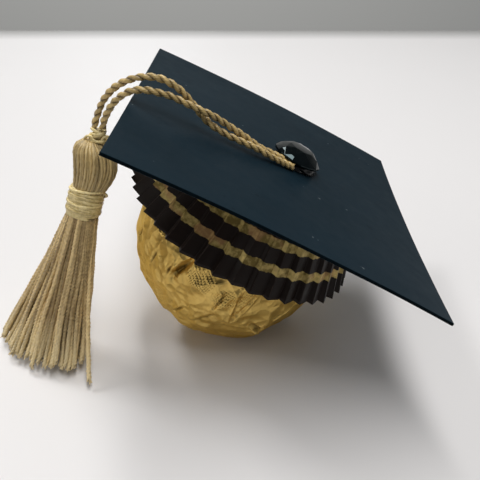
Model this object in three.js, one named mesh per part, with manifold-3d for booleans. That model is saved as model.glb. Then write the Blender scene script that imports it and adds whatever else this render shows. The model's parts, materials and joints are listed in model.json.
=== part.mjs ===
// A miniature graduation cap made as a table favour: a foil-wrapped round praline with its pleated
// paper cup turned over its top, a square card glued on the cup, a faceted gem, and a corded tassel.
// Millimetres, +Z up. The origin is the centre of the flat spot that the sweet stands on. The cap leans
// over towards +X, and the tassel hangs off the card's raised edge, on the -X side.
import * as THREE from "three";
import { mergeVertices } from "three/addons/utils/BufferGeometryUtils.js";
import Module from "manifold-3d";

const wasm = await Module();
wasm.setup();

// ---- driving dimensions ----
const GAP = 0.3; // clearance between neighbouring solids
const LEAN = THREE.MathUtils.degToRad(28); // how far the cap's axis leans from upright, towards +X

// the wrapped sweet, from the outside in
const FOIL_R = 16.87; // over the crumpled foil
const FOIL_INNER_R = 15.3;
const FOOT_R = 3.8; // the crushed flat spot that it stands on
const FOIL_TOP_FLAT = 16.0; // height above the centre of the flat where the foil is gathered
const FOIL_GATHER_R = 1.2; // the hole left in the middle of the gathers
const COATING_R = 15.0;
const COATING_WALL = 1.2;
const COATING_DRAIN_R = 1.5; // the bare spot on the coating, left by the dipping fork
const WAFER_R = 13.5;
const WAFER_WALL = 1.0;
const FILLING_R = 12.2;
const NUT_HOLLOW_R = 6.7;
const FILLING_VENT_R = 1.0;
const NUT_R = 6.0;
const NUT_TIP = 6.5; // from the nut's middle to its point

// the paper cup, turned upside down
const PLEATS = 44;
const CUP_BASE_R = 15.2;
const CUP_RIM_R = 20.0; // half way between the folds' peaks and valleys
const CUP_HEIGHT = 11.15;
const CUP_WALL = 0.35;
const PLEAT_DEPTH = 1.1; // peak to valley at the rim
const PLEAT_DEPTH_AT_BASE = 0.15; // as a part of the depth at the rim
const CUP_ROWS = 5;
const CUP_INSET = 0.4; // between the wall's two faces, level
const CUP_AT = [-0.7, -0.7]; // it sits a little off the card's centre

// the card
const CARD_SIDE = 50.8;
const CARD_THICK = 0.5;
const CARD_RISE = 17.25; // from the sweet's centre to the card's middle plane
const CARD_AT = [0.27, -0.07]; // the card's centre, across from the sweet's centre
const CARD_TURN = THREE.MathUtils.degToRad(-0.9); // it isn't quite square to the way the cap leans
const CARD_CELLS = 14; // along each side, so that the sheet can bend
const WARP = { xx: -0.000955, yy: 0.000965, xy: 0.000736 }; // per millimetre

// the gem and its glue
const GEM_R = 4.05;
const GEM_GIRDLE = 0.45;
const GEM_HEIGHT = 1.9;
const GEM_TABLE_R = 2.1;
const GEM_BREAK = [3.15, 1.3]; // radius and height where its slope changes
const GEM_SIDES = 12;
const GEM_AT = [2.2, 1.2, 1.6]; // middle of its flat back, over the card's middle plane
const GEM_TILT = THREE.MathUtils.degToRad(5); // the cord under its near edge props it up
const GEM_GLUE_R = 2.2;
const GEM_GLUE_AT = [2.5, 1.9];
const CARD_GLUE_R = 7;
const CARD_GLUE_THICK = 0.24;
const GLUE_GAP = 0.13; // above and below the glue disc

// the cord and the tassel
const CORD_D = 1.2;
const CORD_SIDES = 8;
const CORD_STEP = 2.5 * CORD_D;
const KNOT_AT = new THREE.Vector3(-20.4, -1.95, 36.8);
const KNOT_R = 0.85;
const HEAD_TOP = new THREE.Vector3(-20.7, -2.1, 35.7);
const NECK_END = new THREE.Vector3(-24.1, -5.1, 24.3);
const NECK_LENGTH = 4.8;
const NECK_R = 2.8;
const HEAD_R = 3.5;
const SKIRT_FOOT_AT = [-33.0, -10.5]; // middle of the patch of table that the threads' ends cover
const SKIRT_FOOT = [9.9, 3.6]; // its half length and half width
const SKIRT_FOOT_TURN = THREE.MathUtils.degToRad(-33);

// The two legs of the cord loop, from the gem to the tassel. They twist once round each other over the
// card, part, and arch side by side over its edge.
const OUTER_LEG = [
  [9.9, -2.8, 31.8], [8.1, -3.1, 32.8], [6.3, -3.5, 33.9], [4.6, -3.8, 35.1], [3.0, -4.0, 36.0],
  [1.4, -4.1, 36.8], [-0.2, -4.2, 37.6], [-1.8, -4.2, 38.6], [-3.3, -4.0, 39.7], [-4.4, -3.7, 40.9],
  [-5.3, -3.6, 42.1], [-6.2, -3.8, 43.4], [-7.2, -4.1, 44.6], [-8.5, -4.2, 45.6], [-10.2, -4.2, 46.3],
  [-12.4, -4.1, 46.4], [-14.6, -3.8, 45.8], [-16.8, -3.2, 44.5], [-18.7, -2.5, 42.5], [-19.8, -2.0, 40.6],
  [-20.5, -1.8, 39.1], [-20.9, -1.7, 38.0],
];
const INNER_LEG = [
  [9.9, -1.4, 31.8], [8.1, -1.7, 32.8], [6.3, -2.0, 33.9], [4.5, -2.4, 35.0], [3.0, -2.7, 36.2],
  [1.6, -3.0, 37.4], [0.2, -3.3, 38.5], [-1.2, -3.8, 39.7], [-2.6, -4.3, 40.8], [-3.9, -4.8, 41.6],
  [-5.3, -5.0, 42.4], [-6.9, -5.0, 43.2], [-8.4, -5.0, 43.9], [-10.4, -5.0, 44.5], [-12.3, -4.9, 44.8],
  [-14.0, -4.8, 44.6], [-15.4, -4.5, 43.9], [-16.9, -4.0, 42.6], [-18.1, -3.4, 41.0], [-19.0, -2.7, 39.4],
  [-19.5, -2.2, 38.0],
];

// ---- derived places ----
const SWEET_CENTRE_Z = Math.sqrt(FOIL_R ** 2 - FOOT_R ** 2);
const UP = new THREE.Vector3(0, 0, 1);

// ---- materials ----
const material = (color, roughness, metalness = 0) =>
  new THREE.MeshStandardMaterial({ color, roughness, metalness });
const FOIL = material(0xc8a558, 0.35, 0.9);
const CHOCOLATE = material(0x3d2216, 0.55);
const WAFER = material(0xc99a5b, 0.85);
const CREAM = material(0x7a4a2b, 0.6);
const NUT = material(0xb98a55, 0.7);
const CUP_PAPER = material(0x2c1b18, 0.6);
const CARD = material(0x1f2c35, 0.8);
const GEM = material(0x0a0c0e, 0.08);
const GLUE = material(0xd8d4c8, 0.4);
const THREAD = material(0xb29866, 0.55, 0.15);

function mesh(name, geometry, surface) {
  const made = new THREE.Mesh(geometry, surface);
  made.name = name;
  return made;
}

// A solid of revolution about +Z, from (radius, height) points.
const turned = (points, sides) =>
  new THREE.LatheGeometry(points.map(([r, z]) => new THREE.Vector2(r, z)), sides).rotateX(Math.PI / 2);

// Points on an arc about the origin, from one angle above the equator to another, in degrees.
function arc(radius, from, to, steps) {
  return Array.from({ length: steps + 1 }, (_, i) => {
    const a = THREE.MathUtils.degToRad(from + ((to - from) * i) / steps);
    return [Math.abs(Math.cos(a)) < 1e-9 ? 0 : radius * Math.cos(a), radius * Math.sin(a)];
  });
}

// The angle above the equator at which a sphere has a given radius from the axis.
const angleAt = (sphere, r) => THREE.MathUtils.radToDeg(Math.acos(r / sphere));

function solidOf(geometry) {
  const bare = geometry.clone();
  bare.deleteAttribute("normal");
  bare.deleteAttribute("uv");
  const merged = mergeVertices(bare, 1e-4);
  return new wasm.Manifold(
    new wasm.Mesh({
      numProp: 3,
      vertProperties: new Float32Array(merged.attributes.position.array),
      triVerts: new Uint32Array(merged.index.array),
    }),
  );
}

function geometryOf(solid) {
  const { vertProperties, triVerts } = solid.getMesh();
  const made = new THREE.BufferGeometry();
  made.setAttribute("position", new THREE.BufferAttribute(new Float32Array(vertProperties), 3));
  made.setIndex(new THREE.BufferAttribute(new Uint32Array(triVerts), 1));
  return made;
}

// ---- the sweet; local +Z is the cap's axis, and the origin is the sweet's centre ----

// A round shell with one round opening at its top.
function openShell(outer, inner, openingR, sides, steps) {
  return turned(
    [
      ...arc(outer, -90, angleAt(outer, openingR), steps),
      ...arc(inner, angleAt(inner, openingR), -90, steps),
    ],
    sides,
  );
}

function foilWrapper(toLocal) {
  const shoulder = THREE.MathUtils.radToDeg(Math.asin(FOIL_TOP_FLAT / FOIL_R));
  const shell = turned(
    [
      ...arc(FOIL_R, -90, shoulder, 18),
      [FOIL_GATHER_R, FOIL_TOP_FLAT],
      ...arc(FOIL_INNER_R, angleAt(FOIL_INNER_R, FOIL_GATHER_R), -90, 12),
    ],
    40,
  );
  const side = 4 * FOIL_R;
  const table = new THREE.BoxGeometry(side, side, side).translate(0, 0, -side / 2).applyMatrix4(toLocal);
  return geometryOf(solidOf(shell).subtract(solidOf(table)));
}

function waferHalf() {
  const inner = WAFER_R - WAFER_WALL;
  const rise = GAP / 2;
  const low = (r) => THREE.MathUtils.radToDeg(Math.asin(rise / r));
  return turned([...arc(inner, 90, low(inner), 6), ...arc(WAFER_R, low(WAFER_R), 90, 6)], 24);
}

const hazelnut = () =>
  turned(
    [[0, -5.6], [2.8, -5.3], [4.9, -3.9], [NUT_R, -0.8], [5.5, 2.2], [3.7, 4.6], [1.4, 6.0], [0, NUT_TIP]],
    14,
  );

function makeSweet() {
  const sweet = new THREE.Group();
  sweet.position.z = SWEET_CENTRE_Z;
  sweet.rotation.y = LEAN;
  sweet.updateMatrix();
  const lowerWafer = mesh("wafer_shell_lower", waferHalf(), WAFER);
  lowerWafer.rotation.x = Math.PI;
  sweet.add(
    mesh("foil_wrapper", foilWrapper(sweet.matrix.clone().invert()), FOIL),
    mesh(
      "chocolate_coating",
      openShell(COATING_R, COATING_R - COATING_WALL, COATING_DRAIN_R, 28, 10),
      CHOCOLATE,
    ),
    mesh("wafer_shell_upper", waferHalf(), WAFER),
    lowerWafer,
    mesh("cream_filling", openShell(FILLING_R, NUT_HOLLOW_R, FILLING_VENT_R, 20, 8), CREAM),
    mesh("hazelnut", hazelnut(), NUT),
  );
  return sweet;
}

// ---- the cap; local +Z is its axis, and the origin is the card's centre ----

// How far the card's middle plane lies above its mean plane.
const warpAt = (x, y) => WARP.xx * x * x + WARP.yy * y * y + WARP.xy * x * y;

function mortarboardCard() {
  const sheet = new THREE.BoxGeometry(CARD_SIDE, CARD_SIDE, CARD_THICK, CARD_CELLS, CARD_CELLS, 1);
  const at = sheet.attributes.position;
  for (let i = 0; i < at.count; i++) at.setZ(i, at.getZ(i) + warpAt(at.getX(i), at.getY(i)));
  return sheet;
}

// The cup's wall is a cone of sharp folds, deepest at the rim. Its base is the closed end, at z = 0.
function pleatedCup() {
  const around = 2 * PLEATS;
  const positions = [];
  const faces = [];
  const ring = (z, radius, fold) => {
    const first = positions.length / 3;
    for (let i = 0; i < around; i++) {
      const r = radius + (i % 2 ? fold : -fold);
      const a = (2 * Math.PI * i) / around;
      positions.push(r * Math.cos(a), r * Math.sin(a), z);
    }
    return first;
  };
  const rings = [];
  const wallRing = (row, inset, z) => {
    const down = row / (CUP_ROWS - 1);
    const fold = (PLEAT_DEPTH / 2) * THREE.MathUtils.lerp(PLEAT_DEPTH_AT_BASE, 1, down);
    return ring(z ?? -CUP_HEIGHT * down, THREE.MathUtils.lerp(CUP_BASE_R, CUP_RIM_R, down) - inset, fold);
  };
  for (let row = 0; row < CUP_ROWS; row++) rings.push(wallRing(row, 0));
  for (let row = CUP_ROWS - 1; row > 0; row--) rings.push(wallRing(row, CUP_INSET));
  rings.push(wallRing(0, CUP_INSET, -CUP_WALL));
  for (let k = 0; k + 1 < rings.length; k++) {
    for (let i = 0; i < around; i++) {
      const j = (i + 1) % around;
      const [a, b, c, d] = [rings[k] + i, rings[k] + j, rings[k + 1] + i, rings[k + 1] + j];
      faces.push(a, c, b, b, c, d);
    }
  }
  const cap = (first, z, flip) => {
    const centre = positions.length / 3;
    positions.push(0, 0, z);
    for (let i = 0; i < around; i++) {
      const [a, b] = [first + i, first + ((i + 1) % around)];
      faces.push(centre, ...(flip ? [b, a] : [a, b]));
    }
  };
  cap(rings[0], 0, false);
  cap(rings[rings.length - 1], -CUP_WALL, true);
  const made = new THREE.BufferGeometry();
  made.setAttribute("position", new THREE.Float32BufferAttribute(positions, 3));
  made.setIndex(faces);
  return made;
}

const gemStone = () =>
  turned(
    [[0, 0], [GEM_R, 0], [GEM_R, GEM_GIRDLE], GEM_BREAK, [GEM_TABLE_R, GEM_HEIGHT], [0, GEM_HEIGHT]],
    GEM_SIDES,
  );

// The drop of glue under the gem: its top follows the gem's sloping back.
function gemGlue() {
  const bottom = CARD_THICK / 2 + GAP / 2;
  const drop = new THREE.CylinderGeometry(GEM_GLUE_R, GEM_GLUE_R, 1, 20).rotateX(Math.PI / 2);
  drop.translate(...GEM_GLUE_AT, 0);
  const at = drop.attributes.position;
  for (let i = 0; i < at.count; i++) {
    const back = GEM_AT[2] - (at.getY(i) - GEM_AT[1]) * Math.tan(GEM_TILT);
    at.setZ(i, at.getZ(i) > 0 ? back - GAP / 2 : bottom);
  }
  return drop;
}

function makeCap() {
  const cap = new THREE.Group();
  const [across, along] = CARD_AT;
  cap.rotation.y = LEAN;
  cap.position.set(across, along, CARD_RISE).applyAxisAngle(new THREE.Vector3(0, 1, 0), LEAN);
  cap.position.z += SWEET_CENTRE_Z;

  const card = mesh("mortarboard_card", mortarboardCard(), CARD);
  card.rotation.z = CARD_TURN;

  const glueTop = -CARD_THICK / 2 - GLUE_GAP;
  const cardGlue = mesh(
    "glue_disc_card",
    new THREE.CylinderGeometry(CARD_GLUE_R, CARD_GLUE_R, CARD_GLUE_THICK, 24).rotateX(Math.PI / 2),
    GLUE,
  );
  cardGlue.position.set(0, 0, glueTop - CARD_GLUE_THICK / 2);

  const cup = mesh("paper_cup", pleatedCup(), CUP_PAPER);
  cup.position.set(...CUP_AT, glueTop - CARD_GLUE_THICK - GLUE_GAP);

  const gem = mesh("gem_button", gemStone(), GEM);
  gem.position.set(...GEM_AT);
  gem.rotation.x = -GEM_TILT;

  cap.add(card, cardGlue, cup, mesh("glue_drop_gem", gemGlue(), GLUE), gem);
  return cap;
}

// ---- the cord ----
function cordLeg(name, points) {
  const path = new THREE.CatmullRomCurve3(points.map((p) => new THREE.Vector3(...p)), false, "centripetal");
  const section = new THREE.Shape();
  for (let i = 0; i < CORD_SIDES; i++) {
    const a = (2 * Math.PI * i) / CORD_SIDES;
    const [x, y] = [(CORD_D / 2) * Math.cos(a), (CORD_D / 2) * Math.sin(a)];
    if (i) section.lineTo(x, y);
    else section.moveTo(x, y);
  }
  const steps = Math.round(path.getLength() / CORD_STEP);
  const tube = new THREE.ExtrudeGeometry(section, { steps, extrudePath: path, bevelEnabled: false });
  return mesh(name, tube, THREAD);
}

// ---- the tassel ----

// A turned piece whose local +Z points from the tassel's neck up to its head.
function onTasselAxis(name, geometry, foot) {
  const made = mesh(name, geometry, THREAD);
  made.position.copy(foot);
  made.quaternion.setFromUnitVectors(UP, HEAD_TOP.clone().sub(NECK_END).normalize());
  return made;
}

function tasselHead() {
  const height = HEAD_TOP.distanceTo(NECK_END) - NECK_LENGTH - GAP;
  const foot = NECK_END.clone().lerp(HEAD_TOP, (NECK_LENGTH + GAP) / HEAD_TOP.distanceTo(NECK_END));
  const profile = [[0, 0], [0.8, 0], [0.96, 0.2], [1, 0.42], [0.97, 0.6], [0.8, 0.82], [0.45, 0.96], [0, 1]];
  return onTasselAxis(
    "tassel_head",
    turned(profile.map(([r, z]) => [r * HEAD_R, z * height]), 18),
    foot,
  );
}

function neckBinding() {
  const wave = [[0, 0], [0.93, 0], [1, 0.12], [0.96, 0.35], [1, 0.6], [0.97, 0.85], [0.92, 1], [0, 1]];
  return onTasselAxis(
    "tassel_neck_binding",
    turned(wave.map(([r, z]) => [r * NECK_R, z * NECK_LENGTH]), 20),
    NECK_END,
  );
}

// The cut threads as one closed sheaf, from a round top under the binding to a long oval on the table.
function tasselSkirt() {
  const sides = 20;
  const rows = 5;
  const axis = HEAD_TOP.clone().sub(NECK_END).normalize();
  const turn = new THREE.Quaternion().setFromUnitVectors(UP, axis);
  const top = NECK_END.clone().addScaledVector(axis, -GAP);
  const positions = [];
  const faces = [];
  for (let row = 0; row <= rows; row++) {
    const down = row / rows;
    for (let i = 0; i < sides; i++) {
      const a = (2 * Math.PI * i) / sides;
      const onNeck = new THREE.Vector3(Math.cos(a), Math.sin(a), 0)
        .multiplyScalar(0.9 * NECK_R)
        .applyQuaternion(turn)
        .add(top);
      const onTable = new THREE.Vector3(
        SKIRT_FOOT[0] * Math.cos(a - SKIRT_FOOT_TURN),
        SKIRT_FOOT[1] * Math.sin(a - SKIRT_FOOT_TURN),
        0,
      )
        .applyAxisAngle(UP, SKIRT_FOOT_TURN)
        .add(new THREE.Vector3(...SKIRT_FOOT_AT, 0));
      positions.push(...onNeck.lerp(onTable, down).toArray());
    }
  }
  for (let k = 0; k < rows; k++) {
    for (let i = 0; i < sides; i++) {
      const j = (i + 1) % sides;
      const [a, b] = [k * sides + i, k * sides + j];
      faces.push(a, a + sides, b, b, a + sides, b + sides);
    }
  }
  for (let i = 1; i + 1 < sides; i++) {
    faces.push(0, i, i + 1);
    const last = rows * sides;
    faces.push(last, last + i + 1, last + i);
  }
  const made = new THREE.BufferGeometry();
  made.setAttribute("position", new THREE.Float32BufferAttribute(positions, 3));
  made.setIndex(faces);
  return mesh("tassel_skirt", made, THREAD);
}

function tieKnot() {
  const knot = mesh("tassel_tie_knot", new THREE.SphereGeometry(KNOT_R, 14, 10), THREAD);
  knot.position.copy(KNOT_AT);
  return knot;
}

const graduationCap = new THREE.Group();
graduationCap.add(
  makeSweet(),
  makeCap(),
  cordLeg("cord_outer_leg", OUTER_LEG),
  cordLeg("cord_inner_leg", INNER_LEG),
  tieKnot(),
  tasselHead(),
  neckBinding(),
  tasselSkirt(),
);

export default graduationCap;
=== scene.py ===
"""A miniature graduation cap made as a table favour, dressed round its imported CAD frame.

A foil-wrapped praline wears its own pleated paper cup upside down, with a square card on top, a faceted
gem, and a tassel on a twisted cord. Metres, +Z up, in the frame that the CAD uses.
"""

import json
import math
import random

import bmesh
import bpy
import numpy as np
from mathutils import Matrix, Vector, noise


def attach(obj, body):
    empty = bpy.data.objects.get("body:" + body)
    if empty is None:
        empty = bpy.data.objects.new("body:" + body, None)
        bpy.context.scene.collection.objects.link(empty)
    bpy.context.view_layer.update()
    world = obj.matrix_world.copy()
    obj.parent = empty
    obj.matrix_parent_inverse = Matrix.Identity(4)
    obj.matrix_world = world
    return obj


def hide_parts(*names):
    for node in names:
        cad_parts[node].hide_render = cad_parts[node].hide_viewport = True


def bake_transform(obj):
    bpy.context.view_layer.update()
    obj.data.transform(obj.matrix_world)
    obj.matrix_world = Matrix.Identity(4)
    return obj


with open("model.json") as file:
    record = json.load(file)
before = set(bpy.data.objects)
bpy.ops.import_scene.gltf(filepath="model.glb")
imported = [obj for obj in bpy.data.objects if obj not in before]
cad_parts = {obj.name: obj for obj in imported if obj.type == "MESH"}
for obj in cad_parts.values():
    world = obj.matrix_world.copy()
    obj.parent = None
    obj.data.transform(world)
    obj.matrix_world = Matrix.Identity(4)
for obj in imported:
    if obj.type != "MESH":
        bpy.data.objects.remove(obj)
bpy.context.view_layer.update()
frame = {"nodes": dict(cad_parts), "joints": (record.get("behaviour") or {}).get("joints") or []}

MM = 0.001
TURN = 2 * math.pi

# ---- the frame's own places ----
JOINTS = {joint["name"]: joint for joint in frame["joints"]}
CAP_AXIS = np.array(JOINTS["cap_lift"]["axis"])
CAP_AXIS = CAP_AXIS / np.linalg.norm(CAP_AXIS)
CAP_ALONG = np.array([0.0, 1.0, 0.0])
CAP_ACROSS = np.cross(CAP_ALONG, CAP_AXIS)
PIVOT = np.array(JOINTS["tassel_swing"]["pos_m"])

# ---- driving dimensions ----
FOIL_R = 16.87 * MM
FOOT_R = 3.8 * MM
FOIL_CROWN = 15.6 * MM  # the foil is pressed flatter above this, along the cap's axis from its centre
SWEET_CENTRE = np.array([0.0, 0.0, math.sqrt(FOIL_R**2 - FOOT_R**2)])

CARD_SIDE = 50.8 * MM
CARD_THICK = 0.5 * MM
CARD_RISE = 17.25 * MM
CARD_AT = (0.27 * MM, -0.07 * MM)
CARD_TURN = math.radians(-0.9)
CARD_WARP = (-0.955, 0.965, 0.736)  # per metre, in x squared, y squared and x times y
CARD_CENTRE = SWEET_CENTRE + CARD_RISE * CAP_AXIS + CARD_AT[0] * CAP_ACROSS + CARD_AT[1] * CAP_ALONG

PLEATS = 44
CUP_BASE_R = 15.2 * MM
CUP_RIM_R = 20.0 * MM
CUP_HEIGHT = 11.15 * MM
CUP_PAPER_THICK = 0.12 * MM
PLEAT_DEPTH = 1.1 * MM
CUP_AT = (-0.7 * MM, -0.7 * MM, -0.75 * MM)
BAND_WIDTH = 1.25 * MM
BAND_DROPS = (3.95 * MM, 7.35 * MM)  # below the cup's base, along its axis

GEM_R = 4.15 * MM
GEM_GIRDLE = 0.45 * MM
GEM_HEIGHT = 1.9 * MM
GEM_TABLE_R = 2.1 * MM
GEM_BREAK = (3.15 * MM, 1.3 * MM)  # radius and height where its slope changes
GEM_AT = (2.1 * MM, 1.2 * MM, 1.15 * MM)
GEM_TILT = math.radians(4)
GLUE_AT = (2.8 * MM, 1.4 * MM)
GLUE_R = 3.4 * MM
GLUE_HEIGHT = 1.0 * MM

CORD_PITCH = 3.0 * MM
PLY_R = 0.335 * MM
PLY_OFFSET = 0.2 * MM

HEAD_TOP = np.array([-0.0207, -0.0021, 0.0357])
NECK_END = np.array([-0.0241, -0.0051, 0.0243])
NECK_LENGTH = 4.8 * MM
NECK_R = 2.8 * MM
HEAD_R = 3.5 * MM
SKIRT_FOOT_AT = np.array([-0.0333, -0.0116, 0.0])
SKIRT_FOOT = (9.9 * MM, 4.4 * MM)
SKIRT_FOOT_TURN = math.radians(-33)
LONE_FOOT = np.array([-0.0231, -0.0206, 0.0003])
STRAY_FOOT = np.array([-0.0421, -0.0068, 0.0003])
SKIRT_RINGS = ((1.0, 54), (0.86, 40), (0.64, 24), (0.36, 12))  # how far out, and how many strands

OUTER_LEG = [
    (0.0099, -0.0028, 0.0318), (0.0081, -0.0031, 0.0328), (0.0063, -0.0035, 0.0339),
    (0.0046, -0.0038, 0.0351), (0.0030, -0.0040, 0.0360), (0.0014, -0.0041, 0.0368),
    (-0.0002, -0.0042, 0.0376), (-0.0018, -0.0042, 0.0386), (-0.0033, -0.0040, 0.0397),
    (-0.0044, -0.0037, 0.0409), (-0.0053, -0.0036, 0.0421), (-0.0062, -0.0038, 0.0434),
    (-0.0072, -0.0041, 0.0446), (-0.0085, -0.0042, 0.0456), (-0.0102, -0.0042, 0.0463),
    (-0.0124, -0.0041, 0.0464), (-0.0146, -0.0038, 0.0458), (-0.0168, -0.0032, 0.0445),
    (-0.0187, -0.0025, 0.0425), (-0.0198, -0.0020, 0.0406), (-0.0205, -0.0018, 0.0391),
    (-0.0209, -0.0017, 0.0380),
]
INNER_LEG = [
    (0.0099, -0.0014, 0.0318), (0.0081, -0.0017, 0.0328), (0.0063, -0.0020, 0.0339),
    (0.0045, -0.0024, 0.0350), (0.0030, -0.0027, 0.0362), (0.0016, -0.0030, 0.0374),
    (0.0002, -0.0033, 0.0385), (-0.0012, -0.0038, 0.0397), (-0.0026, -0.0043, 0.0408),
    (-0.0039, -0.0048, 0.0416), (-0.0053, -0.0050, 0.0424), (-0.0069, -0.0050, 0.0432),
    (-0.0084, -0.0050, 0.0439), (-0.0104, -0.0050, 0.0445), (-0.0123, -0.0049, 0.0448),
    (-0.0140, -0.0048, 0.0446), (-0.0154, -0.0045, 0.0439), (-0.0169, -0.0040, 0.0426),
    (-0.0181, -0.0034, 0.0410), (-0.0190, -0.0027, 0.0394), (-0.0195, -0.0022, 0.0380),
]


# ---- camera ----
CAMERA_PLACE = (0.00144, -0.08066, 0.06888)
CAMERA_TILT = math.radians(56.86)  # up from straight down
CAMERA_LENS = 40.6


def add_camera():
    data = bpy.data.cameras.new("camera")
    data.lens = CAMERA_LENS
    data.sensor_width = 36
    data.clip_start = 1 * MM
    camera = bpy.data.objects.new("camera", data)
    camera.location = CAMERA_PLACE
    camera.rotation_euler = (CAMERA_TILT, 0, 0)
    bpy.context.scene.collection.objects.link(camera)
    bpy.context.scene.camera = camera


# ---- materials ----
class Look:
    """One material: a Principled shader, with short calls that put texture nodes in front of it."""

    def __init__(self, name, **settings):
        self.material = bpy.data.materials.new(name)
        self.material.use_nodes = True
        self.tree = self.material.node_tree
        self.shader = self.tree.nodes["Principled BSDF"]
        self.place = self.tree.nodes.new("ShaderNodeTexCoord").outputs["Object"]
        for words, value in settings.items():
            self.shader.inputs[words.replace("_", " ")].default_value = value

    def put(self, socket, value):
        """Links a node's output to a socket, or sets the socket."""
        if isinstance(value, bpy.types.NodeSocket):
            self.tree.links.new(value, socket)
        else:
            socket.default_value = value

    def stretched(self, scale, angles=(0, 0, 0)):
        """The piece's own coordinates, scaled along each axis after a turn."""
        node = self.tree.nodes.new("ShaderNodeMapping")
        self.put(node.inputs["Vector"], self.place)
        node.inputs["Scale"].default_value = scale
        node.inputs["Rotation"].default_value = angles
        return node.outputs["Vector"]

    def noise(self, scale, detail=3, roughness=0.55, place=None):
        node = self.tree.nodes.new("ShaderNodeTexNoise")
        self.put(node.inputs["Vector"], place or self.place)
        node.inputs["Scale"].default_value = scale
        node.inputs["Detail"].default_value = detail
        node.inputs["Roughness"].default_value = roughness
        return node.outputs["Fac"]

    def warped(self, scale, reach):
        """The piece's own coordinates, pushed about by a smooth noise."""
        node = self.tree.nodes.new("ShaderNodeTexNoise")
        self.put(node.inputs["Vector"], self.place)
        node.inputs["Scale"].default_value = scale
        node.inputs["Detail"].default_value = 1
        push = self.tree.nodes.new("ShaderNodeVectorMath")
        push.operation = "MULTIPLY_ADD"
        self.put(push.inputs[0], node.outputs["Color"])
        push.inputs[1].default_value = (reach, reach, reach)
        self.put(push.inputs[2], self.place)
        return push.outputs["Vector"]

    def cells(self, scale, place=None):
        """How far a point is from the middle of its cell: a net of straight, sharp ridges."""
        node = self.tree.nodes.new("ShaderNodeTexVoronoi")
        self.put(node.inputs["Vector"], place or self.place)
        node.inputs["Scale"].default_value = scale
        return node.outputs["Distance"]

    def stripes(self, pitch, place=None, distortion=0.0):
        node = self.tree.nodes.new("ShaderNodeTexWave")
        self.put(node.inputs["Vector"], place or self.place)
        node.inputs["Scale"].default_value = TURN / 20 / pitch
        node.inputs["Distortion"].default_value = distortion
        return node.outputs["Fac"]

    def mark(self, name):
        """A number that the mesh carries at each point."""
        node = self.tree.nodes.new("ShaderNodeAttribute")
        node.attribute_name = name
        return node.outputs["Fac"]

    def math(self, operation, first, second=0.0):
        node = self.tree.nodes.new("ShaderNodeMath")
        node.operation = operation
        self.put(node.inputs[0], first)
        self.put(node.inputs[1], second)
        return node.outputs[0]

    def remap(self, value, low, high, to_low=0.0, to_high=1.0):
        node = self.tree.nodes.new("ShaderNodeMapRange")
        self.put(node.inputs["Value"], value)
        for name, number in zip(("From Min", "From Max", "To Min", "To Max"), (low, high, to_low, to_high)):
            node.inputs[name].default_value = number
        return node.outputs["Result"]

    def blend(self, share, first, second):
        """A colour between two others."""
        node = self.tree.nodes.new("ShaderNodeMix")
        node.data_type = "RGBA"
        self.put(node.inputs["Factor"], share)
        self.put(node.inputs[6], first)
        self.put(node.inputs[7], second)
        return node.outputs[2]

    def bump(self, height, distance, strength=1.0):
        """Adds relief: height from 0 to 1 stands for this distance."""
        node = self.tree.nodes.new("ShaderNodeBump")
        node.inputs["Strength"].default_value = strength
        node.inputs["Distance"].default_value = distance
        self.put(node.inputs["Height"], height)
        linked = self.shader.inputs["Normal"].links
        if linked:
            self.put(node.inputs["Normal"], linked[0].from_socket)
        self.put(self.shader.inputs["Normal"], node.outputs["Normal"])

    def colour(self, value):
        self.put(self.shader.inputs["Base Color"], value)

    def roughness(self, value):
        self.put(self.shader.inputs["Roughness"], value)


def rgb(red, green, blue):
    """A colour given as display values from 0 to 255."""
    def linear(value):
        value /= 255
        return value / 12.92 if value <= 0.04045 else ((value + 0.055) / 1.055) ** 2.4

    return (linear(red), linear(green), linear(blue), 1.0)


def foil_look():
    look = Look("crinkled_gold_foil", Metallic=1.0)
    look.shader.inputs["Specular Tint"].default_value = (0.86, 0.72, 0.43, 1)
    patches = look.noise(160, 2)
    gold = look.blend(patches, rgb(226, 192, 114), rgb(203, 171, 94))
    # Painted shade: the gold darkens towards rgb(52, 33, 14) deep in the foil's folds.
    look.colour(look.blend(look.remap(look.mark("fold_shade"), 0.25, 1.0, 0, 0.92), gold, rgb(52, 33, 14)))
    look.roughness(look.remap(look.noise(420, 4), 0.3, 0.7, 0.38, 0.54))
    pressed = look.remap(look.math("ADD", look.mark("pressed"), look.noise(300, 2)), 0.8, 1.3)
    hatch = look.stripes(0.36 * MM, look.stretched((1, 1, 1), (0.3, 0.5, 0.9)), 0.3)
    cross = look.stripes(0.36 * MM, look.stretched((1, 1, 1), (0.2, -0.8, 0.1)), 0.3)
    net = look.math("MULTIPLY", hatch, cross)
    look.bump(look.math("MULTIPLY", net, pressed), 0.13 * MM, 1.0)
    warped = look.warped(260, 1.6 * MM)
    look.bump(look.cells(520, warped), 0.62 * MM, 1.0)
    look.bump(look.cells(230, look.warped(200, 2.0 * MM)), 0.9 * MM, 0.9)
    look.bump(look.cells(120, look.warped(140, 2.6 * MM)), 1.1 * MM, 0.6)
    look.bump(look.noise(1100, 4, 0.6), 0.1 * MM, 0.5)
    return look.material


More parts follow.
